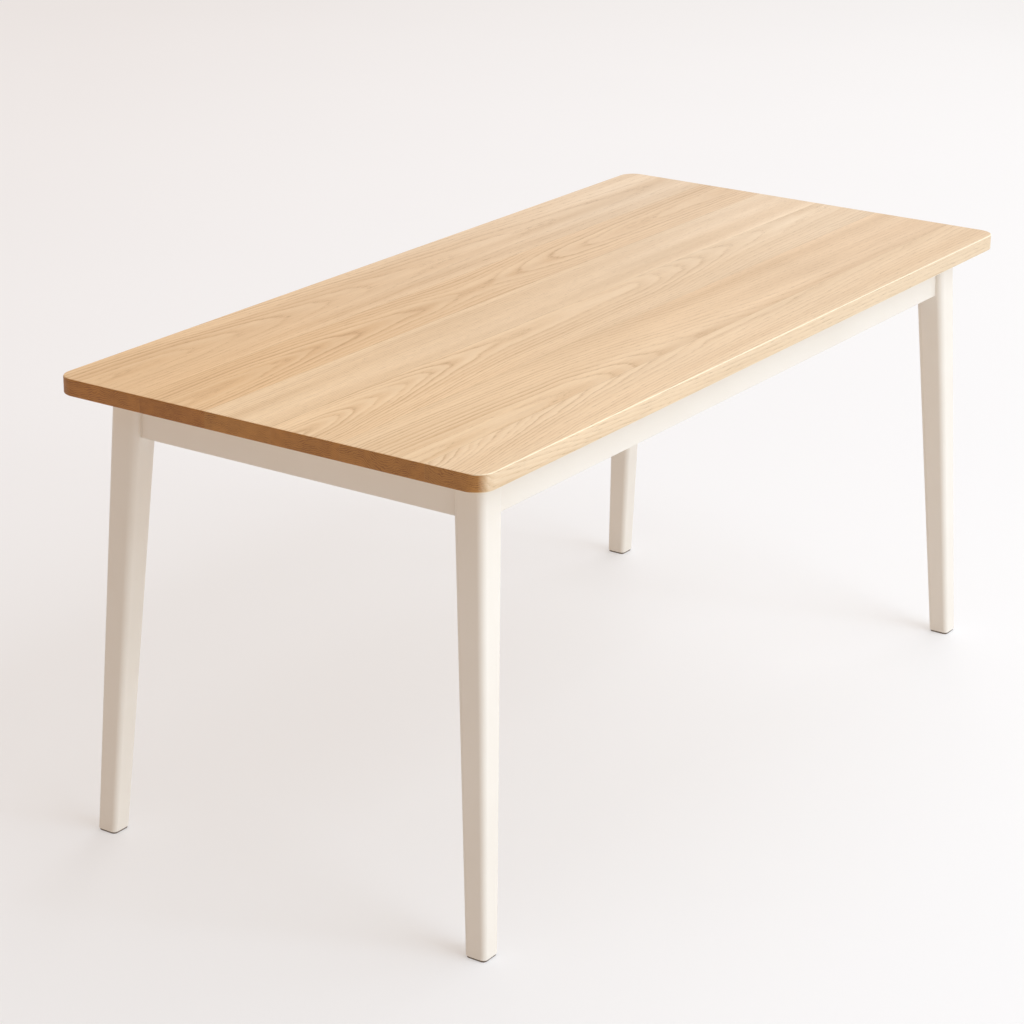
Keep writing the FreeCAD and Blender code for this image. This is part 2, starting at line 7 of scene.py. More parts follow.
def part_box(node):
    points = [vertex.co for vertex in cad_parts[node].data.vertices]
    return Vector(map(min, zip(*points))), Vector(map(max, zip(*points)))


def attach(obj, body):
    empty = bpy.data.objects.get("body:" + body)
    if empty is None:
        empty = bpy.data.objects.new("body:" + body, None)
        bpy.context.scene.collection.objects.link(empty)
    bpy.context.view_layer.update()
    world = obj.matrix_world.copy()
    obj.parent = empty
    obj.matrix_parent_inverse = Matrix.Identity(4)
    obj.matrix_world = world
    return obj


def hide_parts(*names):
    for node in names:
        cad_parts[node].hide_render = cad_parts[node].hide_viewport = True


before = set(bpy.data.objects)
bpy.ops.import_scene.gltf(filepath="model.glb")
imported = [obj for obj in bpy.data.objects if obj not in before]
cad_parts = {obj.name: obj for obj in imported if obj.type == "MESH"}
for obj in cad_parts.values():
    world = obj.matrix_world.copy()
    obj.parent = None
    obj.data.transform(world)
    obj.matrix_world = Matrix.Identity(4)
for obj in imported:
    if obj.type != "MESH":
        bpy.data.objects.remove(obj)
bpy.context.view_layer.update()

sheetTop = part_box("top_plank_1")[1].z

corners = {"front_left": (-1, -1), "front_right": (1, -1), "back_right": (1, 1), "back_left": (-1, 1)}


def newMaterial(name):
    material = bpy.data.materials.new(name)
    material.use_nodes = True
    tree = material.node_tree
    tree.nodes.clear()
    output = tree.nodes.new("ShaderNodeOutputMaterial")
    shader = tree.nodes.new("ShaderNodeBsdfPrincipled")
    tree.links.new(shader.outputs["BSDF"], output.inputs["Surface"])
    return material, tree, shader


def feed(tree, socket, value):
    if isinstance(value, bpy.types.NodeSocket):
        tree.links.new(value, socket)
    else:
        socket.default_value = value


def calc(tree, operation, *values, clamp=False):
    node = tree.nodes.new("ShaderNodeMath")
    node.operation = operation
    node.use_clamp = clamp
    for socket, value in zip(node.inputs, values):
        feed(tree, socket, value)
    return node.outputs[0]


def objectPlace(tree):
    return tree.nodes.new("ShaderNodeTexCoord").outputs["Object"]


def split(tree, vector):
    node = tree.nodes.new("ShaderNodeSeparateXYZ")
    tree.links.new(vector, node.inputs[0])
    return node.outputs


def join(tree, x, y, z):
    node = tree.nodes.new("ShaderNodeCombineXYZ")
    for socket, value in zip(node.inputs, (x, y, z)):
        feed(tree, socket, value)
    return node.outputs[0]


def stretch(tree, vector, scale, shift=(0, 0, 0)):
    node = tree.nodes.new("ShaderNodeMapping")
    tree.links.new(vector, node.inputs["Vector"])
    node.inputs["Scale"].default_value = scale
    node.inputs["Location"].default_value = shift
    return node.outputs[0]


def noise(tree, vector, scale, detail=2.0, roughness=0.5):
    node = tree.nodes.new("ShaderNodeTexNoise")
    tree.links.new(vector, node.inputs["Vector"])
    node.inputs["Scale"].default_value = scale
    node.inputs["Detail"].default_value = detail
    node.inputs["Roughness"].default_value = roughness
    return node.outputs[0]


def swing(tree, fac, reach):  # turns a 0 to 1 noise into plus or minus reach
    return calc(tree, "MULTIPLY", calc(tree, "SUBTRACT", fac, 0.5), 2 * reach)


def ramp(tree, fac, stops, mode="LINEAR"):
    node = tree.nodes.new("ShaderNodeValToRGB")
    node.color_ramp.interpolation = mode
    while len(node.color_ramp.elements) < len(stops):
        node.color_ramp.elements.new(1.0)
    for element, (place, shade) in zip(node.color_ramp.elements, stops):
        element.position = place
        element.color = (*shade, 1) if isinstance(shade, tuple) else (shade, shade, shade, 1)
    feed(tree, node.inputs[0], fac)
    return node.outputs[0]


def mixed(tree, mode, fac, under, over):
    node = tree.nodes.new("ShaderNodeMix")
    node.data_type = "RGBA"
    node.blend_type = mode
    feed(tree, node.inputs[0], fac)
    for socket, value in ((node.inputs[6], under), (node.inputs[7], over)):
        feed(tree, socket, (*value, 1) if isinstance(value, tuple) else value)
    return node.outputs[2]


def bump(tree, shader, height, distance, strength=1.0):
    node = tree.nodes.new("ShaderNodeBump")
    node.inputs["Strength"].default_value = strength
    node.inputs["Distance"].default_value = distance
    tree.links.new(height, node.inputs["Height"])
    tree.links.new(node.outputs[0], shader.inputs["Normal"])


oakLook = {
    "pale": (0.905, 0.650, 0.405),
    "tan": (0.755, 0.502, 0.282),
    "line": (0.50, 0.285, 0.125),
    "bright": (0.95, 0.74, 0.51),
    "pore": (0.24, 0.12, 0.05),
    "edge": (0.905, 0.905, 0.925),
    # painted highlight colour laid on the arrises of the long edges
    "arris": (0.97, 0.83, 0.60),
    "endPale": (0.47, 0.205, 0.046),
    "endLine": (0.20, 0.068, 0.012),
    "endGap": 0.0026,  # between the wavy lines of the sawn ends
    "glue": (0.56, 0.38, 0.20),
    "glueWidth": 0.0004,
    "roughness": 0.46,
    "poreRough": 0.3,
    "endRough": 0.12,
    "coat": 0.12,
    "coatRoughness": 0.22,
    "relief": 0.00025,
    "lineStrength": 0.66,
    "lateStrength": 0.35,
}
# each wave is the stretch of its noise along X, Y and Z, and how far it bends the rings in metres
ringWaves = (((2.5, 9, 9), 0.0045), ((10, 40, 40), 0.0020), ((34, 170, 170), 0.0007))
ringUneven = 0.8  # how much the gaps between rings vary
earlyWood = ((0.0, 0.6), (0.05, 1.0), (0.13, 0.50), (0.28, 0.10), (0.90, 0.0), (1.0, 0.6))
lateWood = ((0.30, 0.0), (0.66, 1.0), (0.90, 0.7), (0.97, 0.0))
endWood = ((0.0, 0.5), (0.12, 1.0), (0.42, 0.25), (0.8, 0.0), (1.0, 0.5))
# where the painted arris highlight lies, by how far the normal tips from upright
arrisHighlightBand = ((0.20, 0.0), (0.45, 0.75), (0.85, 0.75), (0.96, 0.0))
oakGrain = {  # stretches of the finer noises along X, Y and Z
    "dashes": (55, 1300, 1300),
    "streaks": (13, 560, 560),
    "band": (0.8, 24, 24),
    "patch": (2.2, 9, 9),
    "specks": (400, 900, 1500),
    "endSlope": (3, 14, 8),
    "endWave": (20, 70, 60),
    "endPatch": (9, 60, 110),
}

# growth rings run round a heart line under each plank: side is how far the line lies from the plank's middle
# and deep how far down, in mm at shares of the length from the left; figure is how strongly rings show at the
# left and right ends, and tint how the colour changes there: partly the plank's own tone, partly a painted
# sheen that makes each plank paler and cooler towards the right end, where the top catches the bright side
plankLooks = {
    1: {"gap": 4.2, "figure": (0.8, 0.35), "lean": 0,
        "side": ((0.0, 64), (1.0, 64)),
        "deep": ((0.0, 58), (0.07, 76), (0.16, 91), (0.31, 106), (0.45, 111), (1.0, 124)),
        "tint": ((0.954, 0.993, 1.006), (0.918, 0.992, 1.055))},
    2: {"gap": 6.6, "figure": (1.0, 0.08), "lean": 0,
        "side": ((0.0, -54), (0.36, -56), (0.50, -75), (0.66, -108), (1.0, -120)),
        "deep": ((0.0, 51), (0.16, 56), (0.26, 59), (0.31, 66), (0.38, 80), (0.46, 88), (0.60, 94), (1.0, 104)),
        "tint": ((0.936, 0.954, 0.925), (0.896, 0.941, 0.985))},
    3: {"gap": 5.2, "figure": (1.0, 0.40), "lean": 0,
        "side": ((0.0, 11), (0.05, 14), (0.22, 31), (0.5, 42), (1.0, 36)),
        "deep": ((0.0, 24), (0.08, 34), (0.21, 55), (0.31, 62), (0.47, 66), (0.57, 66), (0.63, 73), (0.75, 90),
                 (1.0, 100)),
        "tint": ((0.965, 0.974, 0.935), (0.933, 1.037, 1.164))},
    4: {"gap": 3.6, "figure": (0.65, 0.0), "lean": 0,
        "side": ((0.0, 108), (1.0, 116)),
        "deep": ((0.0, 84), (1.0, 96)),
        "tint": ((0.967, 1.004, 1.004), (0.971, 1.095, 1.266))},
    5: {"gap": 5.4, "figure": (1.0, 0.75), "lean": 0,
        "side": ((0.0, -18), (0.2, 4), (0.4, -5), (0.55, -6), (0.75, 4), (1.0, 6)),
        "deep": ((0.0, 42), (0.13, 47), (0.25, 55), (0.38, 67), (0.46, 74), (0.53, 70), (0.63, 55), (0.75, 50),
                 (1.0, 44)),
        "tint": ((0.894, 0.84, 0.725), (0.896, 0.945, 0.997))},
    6: {"gap": 6.2, "figure": (0.9, 0.30), "lean": 1,
        "side": ((0.0, 12), (0.3, 0), (1.0, -6)),
        "deep": ((0.0, 46), (0.13, 54), (0.2, 61), (0.31, 72), (0.45, 84), (1.0, 104)),
        "tint": ((0.914, 0.882, 0.8), (0.932, 1.04, 1.196))},
}
oakHalf = 0.8  # half the length of the top
mm = 0.001


def alongPlank(tree, share, stops, scale=200):  # a smooth line through heights given in mm
    bent = ramp(tree, share, [(place, 0.5 + height / scale / 2) for place, height in stops], "B_SPLINE")
    return calc(tree, "MULTIPLY", calc(tree, "SUBTRACT", bent, 0.5), 2 * scale * mm)


def oakMaterial(number):
    look = plankLooks[number]
    low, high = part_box(f"top_plank_{number}")
    material, tree, shader = newMaterial(f"oiled_oak_{number}")
    shift = (3.7 * number, 1.9 * number, 0.8 * number)
    place = objectPlace(tree)
    x, y, z = split(tree, place)[:3]

    # distance from the heart line, with slow waves and fine ripples in the rings
    share = calc(tree, "MULTIPLY_ADD", x, 0.5 / oakHalf, 0.5)
    heartY = calc(tree, "ADD", alongPlank(tree, share, look["side"]), (low.y + high.y) / 2)
    offY = calc(tree, "SUBTRACT", y, heartY)
    offZ = calc(tree, "ADD", calc(tree, "SUBTRACT", z, sheetTop), alongPlank(tree, share, look["deep"]))
    radius = calc(tree, "SQRT", calc(tree, "ADD", calc(tree, "POWER", offY, 2), calc(tree, "POWER", offZ, 2)))
    for stretching, reach in ringWaves:
        ripple = noise(tree, stretch(tree, place, stretching, shift), 1.0)
        radius = calc(tree, "ADD", radius, swing(tree, ripple, reach))
    uneven = noise(tree, join(tree, radius, 0.3, 0.6), 60.0, 1.0)
    ring = calc(tree, "ADD", calc(tree, "DIVIDE", radius, look["gap"] * mm), swing(tree, uneven, ringUneven))
    saw = calc(tree, "FRACT", ring)
    early = ramp(tree, saw, earlyWood)
    late = ramp(tree, saw, lateWood)
    # some rings show strongly and others hardly at all
    ringNumber = calc(tree, "FLOOR", calc(tree, "ADD", ring, 0.55))
    strong = noise(tree, join(tree, calc(tree, "MULTIPLY", ringNumber, 0.737), 0.4, 0.2), 1.0, 0.0)
    strong = ramp(tree, strong, ((0.38, 0.08), (0.62, 1.0)))

    # pores: short dark dashes along the grain, most of them in the early wood
    dashes = noise(tree, stretch(tree, place, oakGrain["dashes"], shift), 1.0, 2.0, 0.6)
    streaks = noise(tree, stretch(tree, place, oakGrain["streaks"], shift), 1.0, 2.0, 0.6)
    pores = ramp(tree, dashes, ((0.54, 0.0), (0.70, 1.0)))
    streaks = ramp(tree, streaks, ((0.44, 0.0), (0.70, 1.0)))
    poreMask = calc(tree, "MULTIPLY", pores, calc(tree, "MULTIPLY_ADD", early, 0.5, 0.12), clamp=True)
    streakMask = calc(tree, "MULTIPLY", streaks, calc(tree, "MULTIPLY_ADD", early, 0.30, 0.14), clamp=True)

    # slow changes of tone across and along the plank
    band = noise(tree, stretch(tree, place, oakGrain["band"], shift), 1.0, 2.0, 0.5)
    patch = noise(tree, stretch(tree, place, oakGrain["patch"], shift), 1.0, 2.0, 0.5)
    base = mixed(tree, "MIX", ramp(tree, band, ((0.32, 0.0), (0.70, 1.0))), oakLook["pale"], oakLook["tan"])
    base = mixed(tree, "MULTIPLY", 1.0, base, ramp(tree, patch, ((0.3, 0.95), (0.7, 1.04))))
    fade = ramp(tree, share, ((0.15, look["figure"][0]), (0.75, look["figure"][1])))
    if look["lean"]:  # rings show on one side of the heart line only
        oneSide = ramp(tree, calc(tree, "MULTIPLY_ADD", offY, 20.0, 0.5), ((0.2, 0.2), (0.8, 1.0)))
        fade = calc(tree, "MULTIPLY", fade, oneSide)
    brightness = calc(tree, "MULTIPLY", late, calc(tree, "MULTIPLY", fade, oakLook["lateStrength"]))
    colour = mixed(tree, "MIX", brightness, base, oakLook["bright"])

    # early wood makes the dark lines, which are fainter on the long edges and at the tips of the tongues
    normal = split(tree, tree.nodes.new("ShaderNodeNewGeometry").outputs["Normal"])
    edgeFace = ramp(tree, calc(tree, "ABSOLUTE", normal[1]), ((0.6, 0.0), (0.95, 1.0)))
    endFace = ramp(tree, calc(tree, "ABSOLUTE", normal[0]), ((0.40, 0.0), (0.80, 1.0)))
    fade = calc(tree, "MULTIPLY", fade, calc(tree, "MULTIPLY_ADD", edgeFace, -0.7, 1.0))
    lines = calc(tree, "MULTIPLY", fade, oakLook["lineStrength"])
    lines = calc(tree, "MULTIPLY", calc(tree, "MULTIPLY", early, strong), lines)
    steep = calc(tree, "DIVIDE", calc(tree, "ABSOLUTE", offY), radius)
    lines = calc(tree, "MULTIPLY", lines, ramp(tree, steep, ((0.0, 0.45), (0.30, 1.0))))
    colour = mixed(tree, "MIX", lines, colour, oakLook["line"])
    colour = mixed(tree, "MIX", streakMask, colour, oakLook["line"])
    colour = mixed(tree, "MIX", poreMask, colour, oakLook["pore"])

    # end grain drinks more oil, so the sawn ends are darker; the long edges are a little darker too
    colour = mixed(tree, "MULTIPLY", edgeFace, colour, oakLook["edge"])
    specks = noise(tree, stretch(tree, place, oakGrain["specks"], shift), 1.0, 2.0, 0.6)
    slope = swing(tree, noise(tree, stretch(tree, place, oakGrain["endSlope"], shift), 1.0, 1.0), 0.030)
    wave = swing(tree, noise(tree, stretch(tree, place, oakGrain["endWave"], shift), 1.0, 2.0), 0.005)
    endRing = calc(tree, "DIVIDE", calc(tree, "ADD", z, calc(tree, "ADD", slope, wave)), oakLook["endGap"])
    endRing = calc(tree, "ADD", endRing, swing(tree, specks, 0.5))
    endDark = ramp(tree, calc(tree, "FRACT", endRing), endWood)
    endStrength = noise(tree, stretch(tree, place, oakGrain["endPatch"], shift), 1.0, 2.0)
    endStrength = ramp(tree, endStrength, ((0.35, 0.4), (0.62, 1.0)))
    endLines = calc(tree, "MULTIPLY", endDark, endStrength)
    ends = mixed(tree, "MIX", endLines, oakLook["endPale"], oakLook["endLine"])
    ends = mixed(tree, "MULTIPLY", 1.0, ends, ramp(tree, patch, ((0.3, 0.90), (0.7, 1.12))))
    colour = mixed(tree, "MIX", endFace, colour, ends)

    # painted highlight: the arrises of the long edges are painted lighter than the faces, standing in for the
    # light they catch
    arris = ramp(tree, calc(tree, "ABSOLUTE", normal[2]), arrisHighlightBand)
    longSide = ramp(tree, calc(tree, "ABSOLUTE", normal[1]), ((0.15, 0.0), (0.45, 0.85)))
    arris = calc(tree, "MULTIPLY", arris, longSide)
    colour = mixed(tree, "MIX", arris, colour, oakLook["arris"])

    # a hair of glue where two planks meet, hardly seen in the sawn ends
    for side, joined in ((low.y, number > 1), (high.y, number < len(plankLooks))):
        if joined:
            away = calc(tree, "ABSOLUTE", calc(tree, "SUBTRACT", y, side))
            away = calc(tree, "DIVIDE", away, oakLook["glueWidth"])
            seam = calc(tree, "MULTIPLY", ramp(tree, away, ((0.5, 0.8), (1.0, 0.0))),
                        calc(tree, "MULTIPLY_ADD", endFace, -0.85, 1.0))
            colour = mixed(tree, "MIX", seam, colour, oakLook["glue"])
    # tint along the plank: partly its own tone, partly painted sheen, paler and cooler towards the right end
    colour = mixed(tree, "MULTIPLY", 1.0, colour, ramp(tree, share, tuple(zip((0.1, 0.9), look["tint"]))))
    tree.links.new(colour, shader.inputs["Base Color"])
    rough = calc(tree, "MULTIPLY_ADD", poreMask, oakLook["poreRough"], oakLook["roughness"])
    rough = calc(tree, "MULTIPLY_ADD", endFace, oakLook["endRough"], rough)
    tree.links.new(rough, shader.inputs["Roughness"])
    shader.inputs["IOR"].default_value = 1.45
    shader.inputs["Coat Weight"].default_value = oakLook["coat"]
    shader.inputs["Coat Roughness"].default_value = oakLook["coatRoughness"]
    hollow = calc(tree, "ADD", calc(tree, "MULTIPLY", poreMask, -1.0), calc(tree, "MULTIPLY", early, -0.25))
    bump(tree, shader, hollow, oakLook["relief"], 0.6)
    return material


paintLook = {
    "colour": (0.800, 0.738, 0.655),
    "shade": (0.778, 0.712, 0.625),
    "roughness": 0.38,
    "smear": 0.10,  # how much the roughness varies
    "specular": 0.8,
    "coat": 0.15,
    "coatRoughness": 0.25,
    "relief": 0.00012,
}


def paintMaterial():
    material, tree, shader = newMaterial("cream_satin_paint")
    place = objectPlace(tree)
    cloud = noise(tree, place, 7.0, 2.0)
    cloud = ramp(tree, cloud, ((0.3, 0.0), (0.7, 1.0)))
    colour = mixed(tree, "MIX", cloud, paintLook["colour"], paintLook["shade"])
    tree.links.new(colour, shader.inputs["Base Color"])
    peel = noise(tree, place, 420.0, 2.0, 0.55)
    grain = noise(tree, stretch(tree, place, (160, 160, 14)), 1.0, 2.0, 0.6)
    relief = calc(tree, "ADD", calc(tree, "MULTIPLY", peel, 0.6), calc(tree, "MULTIPLY", grain, 0.8))
    bump(tree, shader, relief, paintLook["relief"], 0.5)
    smears = calc(tree, "MULTIPLY", noise(tree, place, 24.0, 3.0), paintLook["smear"])
    rough = calc(tree, "ADD", smears, paintLook["roughness"] - paintLook["smear"] / 2)
    tree.links.new(rough, shader.inputs["Roughness"])
    shader.inputs["Specular IOR Level"].default_value = paintLook["specular"]
    shader.inputs["Coat Weight"].default_value = paintLook["coat"]
    shader.inputs["Coat Roughness"].default_value = paintLook["coatRoughness"]
    return material


beechLook = {
    "dark": (0.52, 0.33, 0.19),
    "pale": (0.66, 0.46, 0.29),
    "fleck": (0.38, 0.21, 0.11),
    "roughness": 0.62,
}


def beechMaterial():
    material, tree, shader = newMaterial("planed_beech")
    place = objectPlace(tree)
    fibre = noise(tree, stretch(tree, place, (90, 90, 900)), 1.0, 3.0, 0.6)
    flecks = noise(tree, stretch(tree, place, (300, 300, 1500)), 1.0, 2.0, 0.6)
    base = ramp(tree, fibre, ((0.25, beechLook["dark"]), (0.75, beechLook["pale"])))
    flecks = ramp(tree, flecks, ((0.55, 0.0), (0.72, 0.5)))
    colour = mixed(tree, "MIX", flecks, base, beechLook["fleck"])
    tree.links.new(colour, shader.inputs["Base Color"])
    shader.inputs["Roughness"].default_value = beechLook["roughness"]
    bump(tree, shader, fibre, 0.0002, 0.5)
    return material


steelLook = {"dark": (0.50, 0.50, 0.47), "pale": (0.68, 0.68, 0.66), "roughness": 0.25, "uneven": 0.2}


def steelMaterial():
    material, tree, shader = newMaterial("zinc_plated_steel")
    place = objectPlace(tree)
    spangle = noise(tree, place, 900.0, 3.0, 0.6)
    colour = ramp(tree, spangle, ((0.3, steelLook["dark"]), (0.7, steelLook["pale"])))
    tree.links.new(colour, shader.inputs["Base Color"])
    shader.inputs["Metallic"].default_value = 1.0
    rough = calc(tree, "ADD", calc(tree, "MULTIPLY", spangle, steelLook["uneven"]), steelLook["roughness"])
    tree.links.new(rough, shader.inputs["Roughness"])
    bump(tree, shader, spangle, 0.00005, 0.4)
    return material


padLook = {"dark": (0.12, 0.090, 0.065), "pale": (0.18, 0.14, 0.105), "roughness": 0.6}


def padMaterial():
    material, tree, shader = newMaterial("dark_nylon")
    place = objectPlace(tree)
    pebble = noise(tree, place, 1400.0, 2.0)
    colour = ramp(tree, pebble, ((0.3, padLook["dark"]), (0.7, padLook["pale"])))
    tree.links.new(colour, shader.inputs["Base Color"])
    shader.inputs["Roughness"].default_value = padLook["roughness"]
    bump(tree, shader, pebble, 0.0001, 0.5)
    return material


def finishPiece(name, bm, material, slot, *nodes):
    mesh = bpy.data.meshes.new(name)
    bmesh.ops.remove_doubles(bm, verts=bm.verts, dist=0.000001)
    bmesh.ops.recalc_face_normals(bm, faces=bm.faces)
    bm.to_mesh(mesh)
    bm.free()
    mesh.shade_smooth()
    mesh.set_sharp_from_angle(angle=math.radians(40))
    mesh.materials.append(material)
    piece = bpy.data.objects.new(name, mesh)
    bpy.context.scene.collection.objects.link(piece)
    normals = piece.modifiers.new("flat faces stay flat", "WEIGHTED_NORMAL")
    normals.keep_sharp = True
    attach(piece, "root")
    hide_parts(*nodes)


def block(bm, low, high):
    bmesh.ops.create_cube(bm, size=1)
    bmesh.ops.scale(bm, verts=bm.verts, vec=high - low)
    bmesh.ops.translate(bm, verts=bm.verts, vec=(low + high) / 2)


def rounded(bm, edges, size, steps, offsetType="OFFSET"):
    bmesh.ops.bevel(bm, geom=edges, offset=size, offset_type=offsetType, segments=steps, profile=0.5,
                    affect="EDGES", material=-1, clamp_overlap=True)


def middle(edge):
    return (edge.verts[0].co + edge.verts[1].co) / 2


def runs(edge):  # the edge's size along X, Y and Z
    return [abs(a - b) for a, b in zip(edge.verts[0].co, edge.verts[1].co)]


plankSizes = {"cornerRound": 0.030, "cornerSteps": 16, "arris": 0.002, "arrisSteps": 4}
near = 0.00001  # metres; closer than this counts as touching
longEdge = 0.2  # metres; only a board's long edges are longer
uprightEdge = 0.5  # metres; only a leg's four tall edges rise this far


def makePlank(number, count):
    name = f"top_plank_{number}"
    low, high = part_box(name)
    joints = ([low.y] if number > 1 else []) + ([high.y] if number < count else [])
    bm = bmesh.new()
    block(bm, low, high)

    def onJoint(edge):
        return any(all(abs(v.co.y - side) < near for v in edge.verts) for side in joints)

    if len(joints) == 1:
        uprights = [e for e in bm.edges if runs(e)[2] > near and not onJoint(e)]
        rounded(bm, uprights, plankSizes["cornerRound"], plankSizes["cornerSteps"])
    rim = [e for e in bm.edges if runs(e)[2] < near and not onJoint(e)]
    rounded(bm, rim, plankSizes["arris"], plankSizes["arrisSteps"])
    finishPiece(f"oak_plank_{number}", bm, oakMaterial(number), "oak", name)


legSizes = {
    "head": 0.054,
    "foot": 0.037,
    "roundShare": 22,  # per cent of the side, so the rounding shrinks with the taper
    "roundSteps": 8,
    "footChamfer": 0.001,
    "chamferSteps": 2,
}


def makeLeg(corner, signX, signY, paint):
    name = f"leg_{corner}"
    low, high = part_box(name)
    signs = Vector((signX, signY))
    outerFoot = Vector((high.x if signX > 0 else low.x, high.y if signY > 0 else low.y))
    innerHead = Vector((low.x if signX > 0 else high.x, low.y if signY > 0 else high.y))
    footMid = outerFoot - signs * legSizes["foot"] / 2
    headMid = innerHead + signs * legSizes["head"] / 2
    bm = bmesh.new()
    bmesh.ops.create_cube(bm, size=1)
    for v in bm.verts:
        atHead = v.co.z > 0
        centre, side = (headMid, legSizes["head"]) if atHead else (footMid, legSizes["foot"])
        v.co = (centre.x + v.co.x * side, centre.y + v.co.y * side, high.z if atHead else low.z)
    uprights = [e for e in bm.edges if runs(e)[2] > uprightEdge]
    rounded(bm, uprights, legSizes["roundShare"], legSizes["roundSteps"], "PERCENT")
    rim = [e for e in bm.edges if all(abs(v.co.z - low.z) < near for v in e.verts)]
    rounded(bm, rim, legSizes["footChamfer"], legSizes["chamferSteps"])
    finishPiece(f"painted_leg_{corner}", bm, paint, "frame_paint", name)


apronSizes = {"arris": 0.0015, "arrisSteps": 3}
slotSizes = {
    "places": {"apron_front": (-0.52, -0.21, 0.21, 0.52), "apron_back": (-0.52, -0.21, 0.21, 0.52),
               "apron_left": (-0.17, 0.17), "apron_right": (-0.17, 0.17), "cross_rail": (-0.12, 0.12)},
    "wide": 0.022,
    "tall": 0.003,
    "deep": 0.008,
    "drop": 0.010,
}


def cutSlots(bm, name, axis, face):  # pockets for the clips' tongues, in the side that looks along face
    top = max(v.co.z for v in bm.verts) - slotSizes["drop"]
    along = Vector((1, 0, 0)) if axis == 0 else Vector((0, 1, 0))
    up = Vector((0, 0, 1))
    half = slotSizes["wide"] / 2
    places = slotSizes["places"][name]
    cuts = [(along * (place + side), along) for place in places for side in (-half, half)]
    cuts += [(up * (top - drop), up) for drop in (0, slotSizes["tall"])]
    for spot, normal in cuts:
        bmesh.ops.bisect_plane(bm, geom=bm.verts[:] + bm.edges[:] + bm.faces[:], plane_co=spot, plane_no=normal)
    bm.normal_update()
    mouths = []
    for side in bm.faces:
        centre = side.calc_center_median()
        inSlot = any(abs(centre[axis] - place) < half for place in places)
        if inSlot and top - slotSizes["tall"] < centre.z < top and side.normal.dot(face) > 0.9:
            mouths.append(side)
    floors = bmesh.ops.extrude_discrete_faces(bm, faces=mouths)["faces"]
    sunk = list({v for side in floors for v in side.verts})
    bmesh.ops.translate(bm, verts=sunk, vec=face * -slotSizes["deep"])


def makeApron(name, axis, paint):
    low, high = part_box(name)
    legLow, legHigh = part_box("leg_front_right")
    splay = (legHigh[axis] - legLow[axis]) - legSizes["head"]
    lean = (splay + legSizes["head"] - legSizes["foot"]) / (legHigh.z - legLow.z)
    bm = bmesh.new()
    block(bm, low, high)
    for v in bm.verts:
        if v.co.z > high.z - near:
            v.co[axis] -= math.copysign(lean * (high.z - low.z), v.co[axis])
    rim = [e for e in bm.edges if runs(e)[axis] > longEdge and middle(e).z < low.z + near]
    rounded(bm, rim, apronSizes["arris"], apronSizes["arrisSteps"])
    face = Vector((0, -low.y, 0)) if axis == 0 else Vector((-low.x, 0, 0))
    cutSlots(bm, name, axis, face.normalized())
    finishPiece(f"painted_{name}", bm, paint, "frame_paint", name)


def makeCrossRail(paint):
    low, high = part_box("cross_rail")
    bm = bmesh.new()
    block(bm, low, high)
    rim = [e for e in bm.edges if runs(e)[1] > longEdge and middle(e).z < low.z + near]
    rounded(bm, rim, apronSizes["arris"], apronSizes["arrisSteps"])
    cutSlots(bm, "cross_rail", 1, Vector((1, 0, 0)))
    finishPiece("painted_cross_rail", bm, paint, "frame_paint", "cross_rail")


studio = {
    "floorSide": 60.0,
    "floorColour": (0.505, 0.505, 0.505),
    "glowRight": (0.414, 0.422, 0.430),  # a faint light of the floor's own, warmer towards the dim side
    "glowLeft": (0.372, 0.356, 0.354),
    "glowWay": (0.56, -0.83, 0.0),
    "glowReach": 1.6,
    "skyBright": (1.050, 0.995, 0.950),
    "skyDim": (0.320, 0.195, 0.095),
    "skyFrom": (0.62, -0.45, 0.64),  # the bright side of the room
    "aim": (0.0, 0.0, 0.4),
    "lights": {
        "sideSoftbox": {"place": (3.6, -5.3, 6.4), "size": 5.0, "power": (55.0, 64.0, 75.0)},
        "frontSoftbox": {"place": (0.0, -6.4, 6.4), "size": 5.0, "power": (180.0, 206.0, 240.0)},
        "farSoftbox": {"place": (6.0, 1.0, 6.4), "size": 5.0, "power": (136.0, 140.0, 152.0)},
        "lowSoftbox": {"place": (0.5, -8.0, 3.0), "size": 4.5, "power": (128.0, 168.0, 200.0)},
    },
}
view = {
    "place": (-3.7125, -2.4016, 2.0164),
    "turn": 34.052,  # degrees from +X
    "dip": 20.293,  # degrees below the horizon
    "roll": 0.565,
    "lens": 99.07,
}


def makeFloor():
    bm = bmesh.new()
    bmesh.ops.create_grid(bm, x_segments=1, y_segments=1, size=studio["floorSide"] / 2)
    mesh = bpy.data.meshes.new("floor")
    bm.to_mesh(mesh)
    bm.free()
    material, tree, shader = newMaterial("pale_floor")
    cloud = noise(tree, objectPlace(tree), 1.2, 2.0)
    tint = ramp(tree, cloud, ((0.3, 0.99), (0.7, 1.0)))
    tree.links.new(mixed(tree, "MULTIPLY", 1.0, studio["floorColour"], tint), shader.inputs["Base Color"])
    shader.inputs["Roughness"].default_value = 0.9
    shader.inputs["Specular IOR Level"].default_value = 0.1
    across = tree.nodes.new("ShaderNodeVectorMath")
    across.operation = "DOT_PRODUCT"
    tree.links.new(objectPlace(tree), across.inputs[0])
    across.inputs[1].default_value = studio["glowWay"]
    toRight = calc(tree, "MULTIPLY_ADD", across.outputs["Value"], 0.5 / studio["glowReach"], 0.5, clamp=True)
    glow = mixed(tree, "MIX", toRight, studio["glowLeft"], studio["glowRight"])
    tree.links.new(glow, shader.inputs["Emission Color"])
    shader.inputs["Emission Strength"].default_value = 1.0
    mesh.materials.append(material)
    floor = bpy.data.objects.new("floor", mesh)
    bpy.context.scene.collection.objects.link(floor)


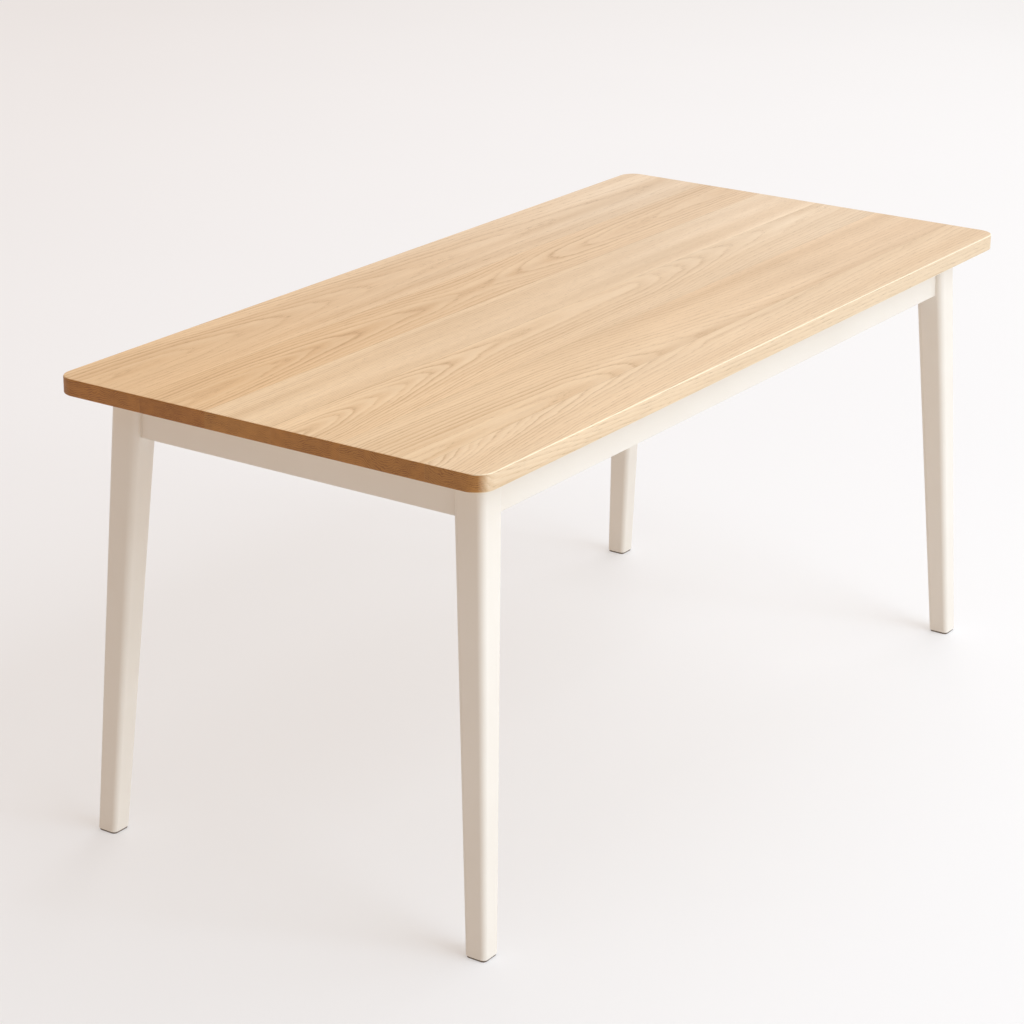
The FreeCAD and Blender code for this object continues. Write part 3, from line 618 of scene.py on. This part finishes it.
def makeLights():
    world = bpy.data.worlds.new("studio")
    bpy.context.scene.world = world
    world.use_nodes = True
    tree = world.node_tree
    way = tree.nodes.new("ShaderNodeTexCoord").outputs["Generated"]
    across = tree.nodes.new("ShaderNodeVectorMath")
    across.operation = "DOT_PRODUCT"
    tree.links.new(way, across.inputs[0])
    across.inputs[1].default_value = Vector(studio["skyFrom"]).normalized()
    facing = calc(tree, "MULTIPLY_ADD", across.outputs["Value"], 0.5, 0.5, clamp=True)
    sky = mixed(tree, "MIX", calc(tree, "POWER", facing, 2.0), studio["skyDim"], studio["skyBright"])
    tree.links.new(sky, tree.nodes["Background"].inputs["Color"])
    for name, look in studio["lights"].items():
        light = bpy.data.lights.new(name, "AREA")
        light.shape = "SQUARE"
        light.size = look["size"]
        light.energy = max(look["power"])
        light.color = [part / light.energy for part in look["power"]]
        lamp = bpy.data.objects.new(name, light)
        lamp.location = look["place"]
        towardTable = Vector(studio["aim"]) - lamp.location
        lamp.rotation_euler = towardTable.to_track_quat("-Z", "Y").to_euler()
        bpy.context.scene.collection.objects.link(lamp)


def makeCamera():
    data = bpy.data.cameras.new("camera")
    data.sensor_width = 36
    data.lens = view["lens"]
    data.clip_end = 200
    camera = bpy.data.objects.new("camera", data)
    turn, dip = math.radians(view["turn"]), math.radians(view["dip"])
    ahead = Vector((math.cos(dip) * math.cos(turn), math.cos(dip) * math.sin(turn), -math.sin(dip)))
    level = ahead.to_track_quat("-Z", "Y") @ Quaternion((0, 0, 1), math.radians(view["roll"]))
    camera.rotation_euler = level.to_euler()
    camera.location = view["place"]
    bpy.context.scene.collection.objects.link(camera)
    bpy.context.scene.camera = camera
    bpy.context.scene.view_settings.view_transform = "Standard"


makeCamera()
makeLights()
makeFloor()
print("studio ready")

plankCount = len(plankLooks)
for plankNumber in plankLooks:
    makePlank(plankNumber, plankCount)
print("top ready")

paint = paintMaterial()
for cornerName, (cornerX, cornerY) in corners.items():
    makeLeg(cornerName, cornerX, cornerY, paint)
for apronName, apronAxis in (("apron_front", 0), ("apron_back", 0), ("apron_left", 1), ("apron_right", 1)):
    makeApron(apronName, apronAxis, paint)
makeCrossRail(paint)
print("frame ready")

kept = {
    padMaterial(): [f"foot_pad_{corner}" for corner in corners],
    beechMaterial(): [f"corner_block_{corner}" for corner in corners] + ["dowels"],
    steelMaterial(): ["hanger_bolts", "hanger_bolt_washers", "hanger_bolt_nuts", "corner_block_screws",
                      "top_clips", "top_clip_screws", "foot_pad_screws"],
}
for material, names in kept.items():
    for name in names:
        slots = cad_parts[name].material_slots
        for slot in slots:
            slot.material = material
print("hardware ready")
